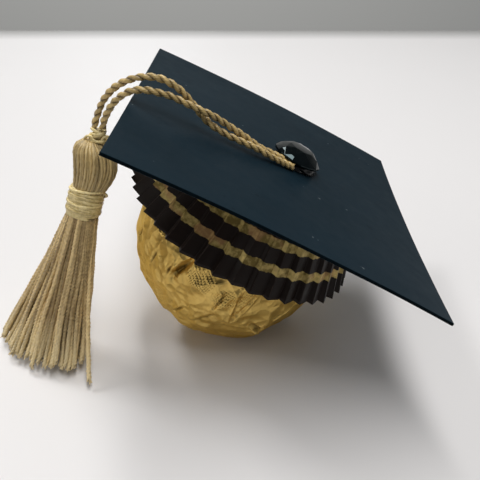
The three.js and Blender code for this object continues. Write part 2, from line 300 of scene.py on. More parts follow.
def cup_look():
    look = Look("waxed_brown_paper")
    look.shader.inputs["Coat Weight"].default_value = 0.06
    look.shader.inputs["Coat Roughness"].default_value = 0.35
    look.shader.inputs["Specular IOR Level"].default_value = 0.12
    fibres = look.noise(700, 4, 0.6)
    paper = look.blend(fibres, rgb(16, 8, 4), rgb(30, 18, 11))
    # Painted highlight: the pleats' ridge folds are lightened towards a pale grey-brown, for the light that
    # they catch.
    ridge_highlight = look.remap(look.mark("fold"), 0.55, 1.0, 0.0, 0.55)
    paper = look.blend(ridge_highlight, paper, rgb(84, 70, 60))
    glint = look.math("ADD", look.mark("shine"), look.remap(look.noise(1300, 3), 0.3, 0.7, -0.4, 0.4))
    gold = look.blend(glint, rgb(112, 96, 50), rgb(216, 192, 122))
    gold = look.blend(look.remap(look.noise(330, 1), 0.56, 0.64, 0, 0.5), gold, rgb(164, 122, 88))
    drop = look.math("ADD", look.mark("drop"), look.remap(look.noise(1500, 3), 0.2, 0.8, -0.12, 0.12))
    band = None
    for middle in BAND_DROPS:
        off = look.math("ABSOLUTE", look.math("SUBTRACT", drop, middle / MM))
        here = look.remap(off, BAND_WIDTH / MM / 2 + 0.05, BAND_WIDTH / MM / 2 - 0.05)
        band = here if band is None else look.math("MAXIMUM", band, here)
    look.colour(look.blend(band, paper, gold))
    look.put(look.shader.inputs["Metallic"], look.math("MULTIPLY", band, 0.5))
    look.roughness(look.remap(look.noise(350, 4), 0.3, 0.7, 0.42, 0.6))
    look.bump(look.noise(1300, 4, 0.6), 0.05 * MM, 0.5)
    look.bump(look.noise(260, 2), 0.2 * MM, 0.4)
    return look.material


def card_look():
    look = Look("blue_black_card")
    look.shader.inputs["Specular IOR Level"].default_value = 0.02
    look.shader.inputs["Specular Tint"].default_value = (0.3, 0.75, 1.0, 1)
    mottle = look.noise(90, 3)
    fibres = look.noise(1700, 5, 0.7, look.stretched((1, 0.6, 1), (0, 0, 0.5)))
    base = look.blend(mottle, rgb(19, 33, 41), rgb(25, 41, 51))
    base = look.blend(look.remap(fibres, 0.45, 0.85, 0, 0.1), base, rgb(37, 52, 62))
    dark_specks = look.remap(look.noise(620, 1), 0.72, 0.76)
    base = look.blend(look.math("MULTIPLY", dark_specks, 0.35), base, rgb(11, 19, 26))
    dust = look.remap(look.noise(900, 1, place=look.stretched((1, 1, 1), (1, 2, 0.5))), 0.79, 0.82)
    base = look.blend(look.math("MULTIPLY", dust, 0.5), base, rgb(130, 140, 146))
    cut = look.remap(look.noise(2600, 3, place=look.stretched((1, 1, 0.4))), 0.3, 0.7, 0.75, 1.0)
    look.colour(look.blend(look.math("MULTIPLY", look.mark("edge"), cut), base, rgb(4, 7, 9)))
    look.roughness(look.remap(look.noise(500, 4), 0.3, 0.7, 0.28, 0.36))
    look.bump(fibres, 0.02 * MM, 0.3)
    look.bump(look.noise(130, 2), 0.25 * MM, 0.3)
    return look.material


def gem_look():
    look = Look("polished_black_gem")
    look.shader.inputs["Specular IOR Level"].default_value = 0.24
    look.shader.inputs["Specular Tint"].default_value = (0.7, 0.95, 1.0, 1)
    look.colour(look.blend(look.noise(300, 2), rgb(3, 5, 6), rgb(7, 11, 13)))
    look.roughness(look.remap(look.noise(800, 3), 0.3, 0.7, 0.03, 0.07))
    look.bump(look.noise(500, 2), 0.02 * MM, 0.2)
    return look.material


def glue_look():
    look = Look("set_glue", IOR=1.45)
    look.colour(look.blend(look.noise(500, 3), rgb(4, 5, 7), rgb(9, 11, 13)))
    look.roughness(look.remap(look.noise(700, 3), 0.3, 0.7, 0.2, 0.36))
    look.bump(look.noise(600, 3), 0.15 * MM, 0.4)
    return look.material


def thread_look(name, dark, light, tip, gloss):
    """Satin thread. Each strand has its own tone, and the cut tips are paler."""
    look = Look(name)
    look.shader.inputs["Sheen Weight"].default_value = 0.08
    look.shader.inputs["Sheen Roughness"].default_value = 0.4
    look.shader.inputs["Specular IOR Level"].default_value = 0.55
    grain = look.noise(1500, 3, 0.6)
    tone = look.math("ADD", look.mark("tone"), look.remap(grain, 0.3, 0.7, -0.2, 0.2))
    body = look.blend(tone, rgb(*dark), rgb(*light))
    look.colour(look.blend(look.math("MULTIPLY", look.mark("tip"), 0.7), body, rgb(*tip)))
    look.roughness(look.remap(grain, 0.3, 0.7, gloss, gloss + 0.15))
    look.bump(look.noise(3200, 4, 0.65), 0.06 * MM, 0.6)
    return look.material


def chocolate_look():
    look = Look("milk_chocolate")
    bloom = look.remap(look.noise(260, 4), 0.45, 0.8, 0, 0.4)
    look.colour(look.blend(bloom, rgb(84, 50, 32), rgb(120, 84, 60)))
    look.roughness(look.remap(look.noise(400, 3), 0.3, 0.7, 0.3, 0.5))
    nuts = look.remap(look.noise(330, 2), 0.5, 0.72)
    look.bump(nuts, 0.6 * MM, 0.8)
    return look.material


def wafer_look():
    look = Look("baked_wafer")
    look.colour(look.blend(look.noise(300, 5), rgb(214, 170, 106), rgb(168, 112, 56)))
    look.roughness(look.remap(look.noise(900, 3), 0.3, 0.7, 0.7, 0.92))
    look.bump(look.noise(1400, 4, 0.7), 0.2 * MM, 0.7)
    return look.material


def cream_look():
    look = Look("hazelnut_cream")
    look.colour(look.blend(look.noise(200, 4), rgb(128, 82, 50), rgb(156, 108, 70)))
    look.roughness(look.remap(look.noise(500, 3), 0.3, 0.7, 0.35, 0.55))
    look.bump(look.noise(350, 3), 0.3 * MM, 0.5)
    return look.material


def nut_look():
    look = Look("roasted_hazelnut")
    streaks = look.noise(520, 4, 0.6, look.stretched((1, 1, 0.18)))
    look.colour(look.blend(streaks, rgb(206, 164, 112), rgb(142, 92, 52)))
    look.roughness(look.remap(streaks, 0.3, 0.7, 0.5, 0.75))
    look.bump(streaks, 0.15 * MM, 0.6)
    return look.material


# ---- meshes ----
def unit(vector):
    return vector / np.linalg.norm(vector, axis=-1, keepdims=True)


def add_piece(name, points, faces, material, marks=None, smooth_below=None):
    """Links a mesh object. Marks are numbers at the points, which the materials read."""
    data = bpy.data.meshes.new(name)
    data.from_pydata([tuple(map(float, p)) for p in points], [], [tuple(map(int, f)) for f in faces])
    data.update()
    data.materials.append(material)
    data.polygons.foreach_set("use_smooth", [True] * len(data.polygons))
    if smooth_below is not None:
        data.set_sharp_from_angle(angle=math.radians(smooth_below))
    for mark, values in (marks or {}).items():
        layer = data.attributes.new(mark, "FLOAT", "POINT")
        layer.data.foreach_set("value", np.array(values, np.float32))
    piece = bpy.data.objects.new(name, data)
    bpy.context.scene.collection.objects.link(piece)
    return piece


def smooth_path(points, step):
    """Points a fixed step apart on the smooth curve through a list of points."""
    given = np.array(points, float)
    ends = (2 * given[0] - given[1], 2 * given[-1] - given[-2])
    held = np.vstack([ends[0], given, ends[1]])
    dense = []
    for a, b, c, d in zip(held, held[1:], held[2:], held[3:]):
        first = np.linalg.norm(b - a) ** 0.5
        second = first + np.linalg.norm(c - b) ** 0.5
        third = second + np.linalg.norm(d - c) ** 0.5
        t = np.linspace(first, second, 24, endpoint=False)[:, None]
        ab = a + (b - a) * t / first
        bc = b + (c - b) * (t - first) / (second - first)
        cd = c + (d - c) * (t - second) / (third - second)
        abc = ab + (bc - ab) * t / second
        bcd = bc + (cd - bc) * (t - first) / (third - first)
        dense.append(abc + (bcd - abc) * (t - first) / (second - first))
    dense = np.vstack([*dense, given[-1:]])
    along = lengths_along(dense)
    places = np.linspace(0, along[-1], max(2, round(along[-1] / step) + 1))
    return np.stack([np.interp(places, along, dense[:, k]) for k in range(3)], axis=1)


def lengths_along(path):
    return np.concatenate([[0.0], np.cumsum(np.linalg.norm(np.diff(path, axis=0), axis=1))])


def frames_along(path):
    """The two directions across a path at each of its points, turning as little as they can."""
    tangents = unit(np.gradient(path, axis=0))
    first = np.cross(tangents[0], [0.31, 0.22, 0.92])
    side = first / np.linalg.norm(first)
    sides = []
    for tangent in tangents:
        side = side - tangent * (side @ tangent)
        side = side / np.linalg.norm(side)
        sides.append(side)
    sides = np.array(sides)
    return sides, np.cross(tangents, sides)


class Strands:
    """Tubes of thread, gathered into one mesh."""

    def __init__(self):
        self.points = []
        self.faces = []
        self.tones = []
        self.tips = []
        self.count = 0

    def tube(self, path, radius, tone=0.5, sides=8, lobe=0.0, pitch=None, flat=1.0, closed=False, tip=0.0,
             core=None):
        """A tube along a path. With a lobe, every third side stands out, and the ridges twist at the pitch.
        The tip is the length at the end that the paler colour covers. With a core, which is a path that the
        tube winds round, the tone darkens towards it: painted shade in the groove between the plies."""
        side, up = frames_along(path)
        along = lengths_along(path)
        rings = len(path)
        base = TURN * np.arange(sides) / sides
        turn = np.zeros(rings) if pitch is None else TURN * along / pitch
        angle = base[None, :] + turn[:, None]
        shape = 1 + lobe * np.where(np.arange(sides) % 3 == 0, 1.0, -0.5)
        reach = np.broadcast_to(np.asarray(radius, float), (rings,))[:, None] * shape[None, :]
        ring = (
            path[:, None, :]
            + (reach * np.cos(angle))[:, :, None] * side[:, None, :]
            + (flat * reach * np.sin(angle))[:, :, None] * up[:, None, :]
        )
        self.points.append(ring.reshape(-1, 3))
        first = self.count
        spans = rings if closed else rings - 1
        for k in range(spans):
            here = first + k * sides
            there = first + (k + 1) % rings * sides
            for j in range(sides):
                n = (j + 1) % sides
                self.faces.append((here + j, here + n, there + n, there + j))
        if not closed:
            last = first + (rings - 1) * sides
            self.faces.append(tuple(first + j for j in reversed(range(sides))))
            self.faces.append(tuple(last + j for j in range(sides)))
        tones = np.full((rings, sides), tone)
        # Painted shade: with a core, each point's tone darkens the nearer it lies to the core, in the
        # groove between plies.
        if core is not None:
            out = np.linalg.norm(ring - core[:, None, :], axis=2)
            tones = tones * np.clip(out / out.max() * 2.2 - 1.2, -0.5, 1)
        self.tones.append(tones.ravel())
        near_end = np.clip(1 - (along[-1] - along) / tip, 0, 1) if tip else np.zeros(rings)
        self.tips.append(np.repeat(near_end, sides))
        self.count += rings * sides

    def piece(self, name, material):
        marks = {"tone": np.concatenate(self.tones), "tip": np.concatenate(self.tips)}
        return add_piece(name, np.vstack(self.points), self.faces, material, marks)


def wandering(path, reach, waves, draw):
    """A path with a gentle wave across it that fades out at its start."""
    side, up = frames_along(path)
    share = np.linspace(0, 1, len(path))
    fade = np.minimum(1, 3 * share)
    sway = reach * fade * np.sin(TURN * (waves * share + draw.random()))
    nod = reach * fade * np.sin(TURN * (waves * 0.8 * share + draw.random()))
    return path + sway[:, None] * side + nod[:, None] * up


# ---- the cord ----
def add_cord_leg(name, node, route, phase, look):
    """One leg of the cord loop: two plies wound round the route, each of them a lobed yarn."""
    draw = random.Random(name)
    path = smooth_path(route, 0.12 * MM)
    side, up = frames_along(path)
    along = lengths_along(path)
    tighter = np.clip(1 - along / (5 * MM), 0, 1) ** 2  # the twist is tighter where the loop is glued down
    wind = TURN * (along / CORD_PITCH - 0.8 * tighter) + phase
    strands = Strands()
    for ply in range(2):
        angle = wind + ply * math.pi
        across = np.cos(angle)[:, None] * side + np.sin(angle)[:, None] * up
        swell = 1 + 0.05 * np.sin(wind * 0.37 + draw.random() * TURN)
        # core=path below paints shade: each ply darkens towards the route, in the groove between the two
        # plies.
        strands.tube(
            path + PLY_OFFSET * across, PLY_R * swell, 0.85 + 0.15 * ply,
            sides=15, lobe=0.08, pitch=-2.2 * MM, core=path,
        )
    piece = strands.piece(name, look)
    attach(piece, "cap")
    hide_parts(node)


# ---- the tassel ----
TASSEL_AXIS = unit(HEAD_TOP - NECK_END)
TASSEL_SIDE = unit(np.cross([0.0, 1.0, 0.0], TASSEL_AXIS))
TASSEL_FRONT = np.cross(TASSEL_SIDE, TASSEL_AXIS)


def on_tassel(radius, angle, height):
    """A point round the tassel's axis; height is above the neck's lower end, and angle 0 faces +X."""
    across = math.cos(angle) * TASSEL_SIDE + math.sin(angle) * TASSEL_FRONT
    return NECK_END + radius * across + height * TASSEL_AXIS


# The tie's turns: height above the pivot, facing, half length and half width in millimetres, tone and wave.
TIE_TURNS = (
    (0.75, (0.35, 0.1, 1), 1.0, 0.85, 0.9, 0.1),
    (0.4, (-0.2, 0.1, 1), 1.1, 0.95, 1.0, 0.12),
    (0.02, (-0.4, 0.2, 1), 1.2, 1.0, 0.5, 0.15),
    (-0.4, (0.3, -0.2, 1), 1.3, 1.1, 0.75, 0.1),
    (-0.8, (-0.1, 0.2, 1), 1.35, 1.1, 0.9, 0.12),
)
# Its two loose loops: place from the pivot, facing, half length and half width in millimetres, and tone.
TIE_LOOPS = (
    ((-1.35, -0.7, -0.45), (0.3, 1, 0.2), 0.62, 0.85, 1.0),
    ((1.2, -0.6, -0.6), (-0.4, 1, 0.3), 0.7, 0.6, 0.8),
)
TIE_UP = unit(np.array([0.15, 0.1, 1.0]))
TIE_THREAD_R = 0.24 * MM
TIE_LOOP_THREAD_R = 0.22 * MM


def add_ring(strands, centre, facing_to, long, short, tone, radius, wave=0.0):
    """A closed oval turn of thread round a centre."""
    normal = unit(np.array(facing_to, float))
    side = unit(np.cross(normal, [0.1, 1.0, 0.05]))
    other = np.cross(normal, side)
    turn = np.linspace(0, TURN, 40, endpoint=False)
    path = (
        centre
        + (long * MM * np.cos(turn))[:, None] * side
        + (short * MM * np.sin(turn))[:, None] * other
        + (wave * MM * np.sin(2 * turn))[:, None] * normal
    )
    pitch = lengths_along(path)[-1] / 4
    strands.tube(path, radius, tone, sides=9, lobe=0.12, pitch=pitch, closed=True)


def add_tie(look):
    """The tie thread: turns wound round the foot of the cord, and two loose loops."""
    strands = Strands()
    for height, facing_to, long, short, tone, wave in TIE_TURNS:
        add_ring(strands, PIVOT + height * MM * TIE_UP, facing_to, long, short, tone, TIE_THREAD_R, wave)
    for place, facing_to, long, short, tone in TIE_LOOPS:
        add_ring(strands, PIVOT + np.array(place) * MM, facing_to, long, short, tone, TIE_LOOP_THREAD_R)
    core = smooth_path([PIVOT + TIE_UP * 0.9 * MM, PIVOT, PIVOT - TIE_UP * 0.9 * MM], 0.2 * MM)
    strands.tube(core, 0.8 * MM, 0.3, sides=12)
    piece = strands.piece("tassel_tie", look)
    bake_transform(piece)
    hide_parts("tassel_tie_knot")


HEAD_HEIGHT = float(np.linalg.norm(HEAD_TOP - NECK_END))
# Height and width of the head's outline, as shares of its whole height and width.
HEAD_PROFILE = [(0.0, 0.7), (0.12, 0.76), (0.32, 0.9), (0.55, 1.0), (0.78, 0.97), (0.93, 0.74), (1.0, 0.42)]
# Each layer of its threads: how many, how far inside the outline, and their radius, in millimetres.
HEAD_LAYERS = ((50, 0.24, 0.25), (36, 0.56, 0.34), (18, 1.15, 0.45), (8, 1.9, 0.7))
HEAD_LEAN = 0.65 * MM  # how far its middle stands off the tassel's straight axis
HEAD_TOP_LEAN = -0.8 * MM


def add_head(look):
    """Folded threads, which run from the tie down over a round bulge and in under the binding."""
    draw = random.Random("head")
    strands = Strands()
    bottom = 0.8 * NECK_LENGTH
    rise = HEAD_HEIGHT - bottom + 0.1 * MM
    shares, sizes = zip(*HEAD_PROFILE)
    for layer, (count, inset, radius) in enumerate(HEAD_LAYERS):
        for k in range(count):
            start = TURN * (k + 0.5 * layer + draw.uniform(-0.22, 0.22)) / count
            drift = draw.uniform(-0.2, 0.2)
            bulge = draw.uniform(-0.22, 0.22) * MM
            points = []
            for share in np.linspace(1.0, 0, 9):
                size = np.interp(share, shares, sizes) * HEAD_R
                reach = max(0.25 * MM, size - inset * MM + bulge * math.sin(math.pi * share))
                at = on_tassel(reach, start + drift * share, bottom + share * rise)
                lean = HEAD_LEAN * math.sin(math.pi * share) + HEAD_TOP_LEAN * share**2
                points.append(at + np.array([lean, 0, 0]))
            path = smooth_path(points, 0.3 * MM)
            strands.tube(
                path, radius * MM * draw.uniform(0.85, 1.1), draw.uniform(0.05, 0.95),
                sides=9, lobe=0.1, pitch=draw.uniform(3.2, 4.4) * MM,
            )
    piece = strands.piece("tassel_head_threads", look)
    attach(piece, "tassel")
    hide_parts("tassel_head")


BINDING_TURNS = 12
OVER_TURNS = ((1.2, 0.3), (2.5, 0.9), (3.4, 0.5), (4.6, 1.0))  # height in millimetres, and tone
# Points of the end loop: how far off the neck's surface, bearing, and height, in millimetres and radians.
END_LOOP = ((-0.05, -0.3, 3.7), (0.25, -0.15, 3.95), (0.3, 0.05, 4.35), (-0.05, 0.2, 4.7))


def add_binding(look):
    """Wound satin thread round the neck, its turns slightly uneven, with a small end loop."""
    draw = random.Random("binding")
    strands = Strands()
    steps = 48 * BINDING_TURNS
    points = []
    for k in range(steps + 1):
        share = k / steps
        angle = TURN * BINDING_TURNS * share + 1.0
        ease = 0.06 * MM * math.sin(angle * 1.7) + 0.06 * MM * math.sin(angle * 0.61)
        swell = 1 - 0.09 * abs(2 * share - 1) ** 3
        rise = NECK_LENGTH * (0.03 + 0.99 * share) + 0.09 * MM * math.sin(angle * 1.13)
        points.append(on_tassel((NECK_R - 0.25 * MM) * swell + ease, angle, rise))
    strands.tube(np.array(points), 0.27 * MM, 0.6, sides=12, lobe=0.05, pitch=9 * MM)
    for height, tone in OVER_TURNS:
        lean = draw.uniform(-0.5, 0.5) * MM
        turned = draw.uniform(0, TURN)
        loop = [
            on_tassel(NECK_R - 0.12 * MM, a, height * MM + lean * math.sin(a + turned))
            for a in np.linspace(0, TURN, 60, endpoint=False)
        ]
        strands.tube(np.array(loop), 0.22 * MM, tone, sides=9, lobe=0.08, pitch=6 * MM, closed=True)
    core = smooth_path([on_tassel(0, 0, share * NECK_LENGTH) for share in (0.03, 0.5, 0.97)], 0.4 * MM)
    strands.tube(core, NECK_R - 0.45 * MM, 0.0, sides=24)
    end = [on_tassel(NECK_R + out * MM, bearing, height * MM) for out, bearing, height in END_LOOP]
    strands.tube(smooth_path(end, 0.15 * MM), 0.22 * MM, 0.6, sides=9)
    piece = strands.piece("tassel_binding", look)
    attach(piece, "tassel")
    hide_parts("tassel_neck_binding")


def skirt_strand(strands, draw, start, foot, tone, radius):
    """One cut thread from the neck to the table, ending in a few splayed fibres."""
    lowest = 0.75 * radius
    reach = np.linalg.norm(foot - start)
    middle = 0.5 * (start + foot) - 0.09 * reach * TASSEL_AXIS
    middle += np.array([draw.uniform(-1, 1), draw.uniform(-1, 1), 0]) * 0.3 * MM
    share = np.linspace(0, 1, 30)[:, None]
    path = (1 - share) ** 2 * start + 2 * share * (1 - share) * middle + share**2 * foot
    path = wandering(path, draw.uniform(0.08, 0.2) * MM, draw.uniform(1, 2), draw)
    path = smooth_path(path[::3], 0.55 * MM)
    path[:, 2] = np.maximum(path[:, 2], lowest)
    widths = radius * np.interp(np.linspace(0, 1, len(path)), [0, 0.2, 0.6, 1], [0.66, 0.85, 1.0, 1.0])
    strands.tube(path, widths, tone, sides=9, lobe=0.22, pitch=draw.uniform(1.7, 2.3) * MM, tip=9 * MM)
    along = unit(path[-1] - path[-3])
    for _ in range(7):
        splay = np.array([draw.uniform(-1, 1) for _ in range(3)]) * 0.5
        out = unit(along + splay)
        origin = path[-1] - 0.3 * MM * along + 0.55 * radius * splay
        length = draw.uniform(0.35, 0.8) * MM
        droop = origin + length * out - np.array([0, 0, 0.15 * MM])
        hair = smooth_path([origin, origin + 0.5 * length * out, droop], 0.25 * MM)
        hair[:, 2] = np.maximum(hair[:, 2], 0.06 * MM)
        strands.tube(hair, np.linspace(0.15, 0.07, len(hair)) * MM, tone, sides=5, tip=2 * MM)


def add_skirt(look):
    """The tassel's threads, packed under the binding and spread over a long oval of table."""
    draw = random.Random("skirt")
    strands = Strands()
    c, s = math.cos(SKIRT_FOOT_TURN), math.sin(SKIRT_FOOT_TURN)
    for spread, count in SKIRT_RINGS:
        for k in range(count):
            angle = TURN * (k + draw.uniform(-0.3, 0.3) + 0.5 * (spread < 1)) / count
            start = on_tassel((0.9 * NECK_R - 0.2 * MM) * spread, angle, 0.3 * MM)
            across = start - on_tassel(0, 0, 0.3 * MM)
            turned = math.atan2(across[1], across[0]) - SKIRT_FOOT_TURN
            long = SKIRT_FOOT[0] * spread * math.cos(turned) * draw.uniform(0.95, 1.04)
            long *= 0.9 if long > 0 else 1.0
            short = SKIRT_FOOT[1] * spread * math.sin(turned) * draw.uniform(0.85, 1.12)
            foot = SKIRT_FOOT_AT + np.array([c * long - s * short, s * long + c * short, 0.4 * MM])
            foot = foot + (start - foot) * draw.uniform(-0.02, 0.05)
            skirt_strand(strands, draw, start, foot, draw.uniform(0, 1), draw.uniform(0.33, 0.4) * MM)
    lone = on_tassel(0.5 * NECK_R, -0.3, 0.3 * MM)
    skirt_strand(strands, draw, lone, LONE_FOOT, 0.8, 0.38 * MM)
    stray = on_tassel(0.7 * NECK_R, 2.9, 0.3 * MM)
    skirt_strand(strands, draw, stray, STRAY_FOOT, 0.5, 0.38 * MM)
    piece = strands.piece("tassel_skirt_threads", look)
    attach(piece, "tassel")
    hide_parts("tassel_skirt")


# ---- the foil ----
# Each deep fold of the foil runs between two directions from the sweet's centre, as (bearing, height) in
# degrees; a bearing of -90 faces the front. Then its depth and width, in millimetres.
FOLDS = [
    ((-111, 20), (-122, 9), 1.3, 1.0),
    ((-84, 3), (-90, -16), 0.8, 0.6),
    ((-90, -16), (-77, -1), 0.7, 0.5),
    ((-92, 5), (-99, -6), 0.7, 0.5),
    ((-122, 15), (-126, 8), 0.6, 0.5),
    ((-156, 22), (-160, 14), 0.6, 0.5),
    ((-117, -11), (-127, -21), 0.5, 0.6),
    ((-79, -23), (-66, -33), 0.9, 0.7),
    ((-99, -12), (-118, -26), 0.35, 0.9),
    ((-65, -24), (-51, -19), 0.35, 0.6),
    ((-135, 18), (-141, 8), 0.3, 0.6),
]

# The places where the foil's fine pressed lines still show: bearing, height, and radius in millimetres.
PRESSED = [
    (-105, 12, 1.9), (-92, 0, 1.7), (-81, 0, 1.6), (-140, -12, 2.2), (-40, -8, 2.4),
    (20, 2, 2.6), (75, -10, 2.2), (130, 12, 2.6), (170, -14, 2.0),
]


def facing(bearing, height):
    b, h = math.radians(bearing), math.radians(height)
    return np.array([math.cos(h) * math.cos(b), math.cos(h) * math.sin(b), math.sin(h)])


def nearest_seed(directions, count, draw):
    """How far each direction is from the nearest of some scattered seeds, in radians."""
    seeds = unit(np.array([[draw.gauss(0, 1) for _ in range(3)] for _ in range(count)]))
    nearest = np.full(len(directions), -1.0)
    for seed in seeds:
        nearest = np.maximum(nearest, directions @ seed)
    return np.arccos(np.clip(nearest, -1, 1))


# The three places in the smooth noise that push the foil's wrinkles along X, Y and Z.
PUSH_AT = [Vector((41, 3, 15)), Vector((8, 29, 6)), Vector((5, 16, 37))]


def crumpled(directions):
    """How far the foil stands above or below its round shape, from its flats and its fine wrinkles."""
    draw = random.Random("foil")
    pushed = np.array([[noise.noise(Vector(d) * 3.1 + place) for place in PUSH_AT] for d in directions])
    warped = unit(directions + 0.11 * pushed)
    flats = np.full(len(directions), 1.0)
    for _ in range(150):
        normal = unit(np.array([draw.gauss(0, 1) for _ in range(3)]))
        flats = np.minimum(flats, draw.uniform(0.962, 0.992) / np.maximum(warped @ normal, 0.2))
    relief = 0.75 * (np.clip(flats, 0.94, 1.0) - 1) * FOIL_R
    relief += 0.16 * (nearest_seed(warped, 46, draw) - 0.2) * FOIL_R
    relief -= 0.11 * (nearest_seed(warped, 170, draw) - 0.1) * FOIL_R
    return relief + 0.1 * MM * np.array([noise.noise(Vector(d) * 12) for d in directions])


def folded(directions):
    """How far the deep folds and the lips beside them move each point, and how deep in a fold it is, which
    the foil's colour uses as painted shade.
    """
    relief = np.zeros(len(directions))
    fold_shade = np.zeros(len(directions))
    for start, end, depth, width in FOLDS:
        a, b = facing(*start), facing(*end)
        run = b - a
        share = np.clip((directions - a) @ run / (run @ run), 0, 1)
        off = directions - (a + share[:, None] * run)
        across = unit(np.cross(run, a))
        signed = (off @ across) * FOIL_R
        distance = np.linalg.norm(off, axis=1) * FOIL_R
        taper = np.sin(math.pi * np.clip(share, 0.06, 0.94)) ** 0.5
        groove = taper * np.exp(-((distance / (0.45 * width * MM)) ** 2))
        lip = np.exp(-(((signed - 0.75 * width * MM) / (0.6 * width * MM)) ** 2))
        lip *= distance < 2 * width * MM
        relief += (-depth * groove + 0.45 * depth * taper * lip) * MM
        fold_shade = np.maximum(fold_shade, groove)
    return relief, fold_shade


def pressed_lines(directions):
    """From 0 to 1: how clearly the pressed lines show at each point."""
    clear = np.zeros(len(directions))
    for bearing, height, radius in PRESSED:
        off = np.linalg.norm(directions - facing(bearing, height), axis=1) * FOIL_R
        clear = np.maximum(clear, np.clip(1.6 - off / (radius * MM), 0, 1))
    return clear


def gather_relief(directions):
    """The pleats that the foil is gathered into round the cap's axis."""
    up = directions @ CAP_AXIS
    bearing = np.arctan2(directions @ CAP_ALONG, directions @ CAP_ACROSS)
    near = np.clip((up - 0.72) / 0.28, 0, 1)
    wave = np.abs(np.sin(bearing * 8.5 + 1.5 * np.sin(3 * bearing) + 5 * near))
    return near**0.7 * (wave - 0.75) * 0.75 * MM


def add_foil(look):
    """The crinkled foil wrapper, flat where it stands and gathered at its top, under the cup."""
    shell = bmesh.new()
    bmesh.ops.create_icosphere(shell, subdivisions=6, radius=1)
    for _ in range(2):  # the front has the deep folds, and needs a finer mesh
        low = {v for v in shell.verts if v.co.y < -0.15 and -0.95 < v.co.z < 0.45}
        front = [e for e in shell.edges if low.issuperset(e.verts)]
        bmesh.ops.subdivide_edges(shell, edges=front, cuts=1, use_grid_fill=True)
    directions = unit(np.array([v.co for v in shell.verts]))
    shell.verts.index_update()
    faces = [[v.index for v in f.verts] for f in shell.faces]
    shell.free()
    upward = np.clip((directions @ CAP_AXIS - 0.9) / 0.1, 0, 1)
    relief, fold_shade = folded(directions)
    relief += crumpled(directions)
    reach = FOIL_R + relief * (1 - upward) + gather_relief(directions)
    height = directions @ CAP_AXIS * reach
    flattened = np.where(height > FOIL_CROWN, FOIL_CROWN + 0.25 * (height - FOIL_CROWN), height)
    points = SWEET_CENTRE + directions * reach[:, None] + (flattened - height)[:, None] * CAP_AXIS
    points[:, 2] = np.maximum(points[:, 2], 0.0)
    marks = {"fold_shade": fold_shade, "pressed": pressed_lines(directions)}
    piece = add_piece("foil", points, faces, look, marks)
    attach(piece, "sweet")
    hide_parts("foil_wrapper")


# ---- the paper cup ----
def on_cap(across, along, up):
    """A point in the card's own directions, from the card's centre."""
    return CARD_CENTRE + across * CAP_ACROSS + along * CAP_ALONG + up * CAP_AXIS


# One pleat, as how far round it each point is and how far out it stands, and how strongly a painted
# highlight lightens it there.
PLEAT_PROFILE = [
    (0.0, -1.0), (0.03, -0.9), (0.21, 0.75), (0.25, 1.0), (0.29, 0.92), (0.62, 0.02), (0.96, -0.92),
]
PLEAT_RIDGE_HIGHLIGHT = [0.0, 0.0, 0.1, 1.0, 0.2, 0.0, 0.0]
CUP_AROUND = PLEATS * len(PLEAT_PROFILE)
CUP_ROWS = 26
CUP_BASE_RINGS = (0.8, 0.45, 0.12)  # shares of the base's radius


def on_cup(reach, angle, drop):
    """A point round the cup's axis, at a drop below the base's edge."""
    across = CUP_AT[0] + reach * math.cos(angle)
    along = CUP_AT[1] + reach * math.sin(angle)
    return on_cap(across, along, CUP_AT[2] - drop)


def pleated_wall(draw):
    """The wall's points and marks, row by row from the base to the rim. No two pleats are quite alike."""
    shine = [[draw.random()] * 3 + [draw.random() ** 2] * 4 for _ in range(PLEATS)]
    jitter = [[draw.uniform(-1, 1) for _ in PLEAT_PROFILE] for _ in range(PLEATS)]
    depths = [draw.uniform(0.82, 1.15) for _ in range(PLEATS)]
    trims = [draw.uniform(-0.12, 0.12) * MM for _ in range(PLEATS)]
    points = []
    marks = {"drop": [], "fold": [], "shine": []}
    for row in range(CUP_ROWS):
        down = row / (CUP_ROWS - 1)
        depth = 0.5 * PLEAT_DEPTH * (0.14 + 0.62 * down**0.8)
        radius = CUP_BASE_R + (CUP_RIM_R - CUP_BASE_R) * down
        for pleat in range(PLEATS):
            for k, (share, out) in enumerate(PLEAT_PROFILE):
                bend = 0.035 * jitter[pleat][k] * (0.4 + 0.6 * down)
                angle = TURN * (pleat + share + bend + 0.02 * math.sin(5 * down + pleat)) / PLEATS
                drop = (CUP_HEIGHT + trims[pleat]) * down
                points.append(on_cup(radius + depth * depths[pleat] * out, angle, drop))
                marks["drop"].append(drop / MM)
                # The fold mark carries the painted highlight on each ridge.
                marks["fold"].append(PLEAT_RIDGE_HIGHLIGHT[k] * draw.uniform(0.5, 1.0))
                marks["shine"].append(shine[pleat][k])
    return points, marks


def add_cup(look):
    """A pleated cup, upside down: sharp folds, each with two slanting faces, under a round base."""
    points, marks = pleated_wall(random.Random("cup"))
    faces = []
    for row in range(CUP_ROWS - 1):
        for k in range(CUP_AROUND):
            n = (k + 1) % CUP_AROUND
            here = row * CUP_AROUND
            there = here + CUP_AROUND
            faces.append((here + k, there + k, there + n, here + n))
    outer = 0
    for share in CUP_BASE_RINGS:
        first = len(points)
        points += [on_cup(CUP_BASE_R * share, TURN * k / CUP_AROUND, 0.05 * MM) for k in range(CUP_AROUND)]
        for k in range(CUP_AROUND):
            n = (k + 1) % CUP_AROUND
            faces.append((outer + k, outer + n, first + n, first + k))
        outer = first
    faces.append(tuple(outer + k for k in range(CUP_AROUND)))
    for values in marks.values():
        values += [0.0] * (len(points) - len(values))
    piece = add_piece("paper_candy_cup", points, faces, look, marks, smooth_below=20)
    paper = piece.modifiers.new("paper", "SOLIDIFY")
    paper.thickness = CUP_PAPER_THICK
    paper.offset = -1
    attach(piece, "cap")
    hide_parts("paper_cup")


# ---- the card ----
def card_warp(x, y):
    """How far the sheet lies above its mean plane: a gentle saddle, with faint waves."""
    saddle = CARD_WARP[0] * x * x + CARD_WARP[1] * y * y + CARD_WARP[2] * x * y
    return saddle + 0.05 * MM * noise.noise(Vector((x, y, 0)) * 70)


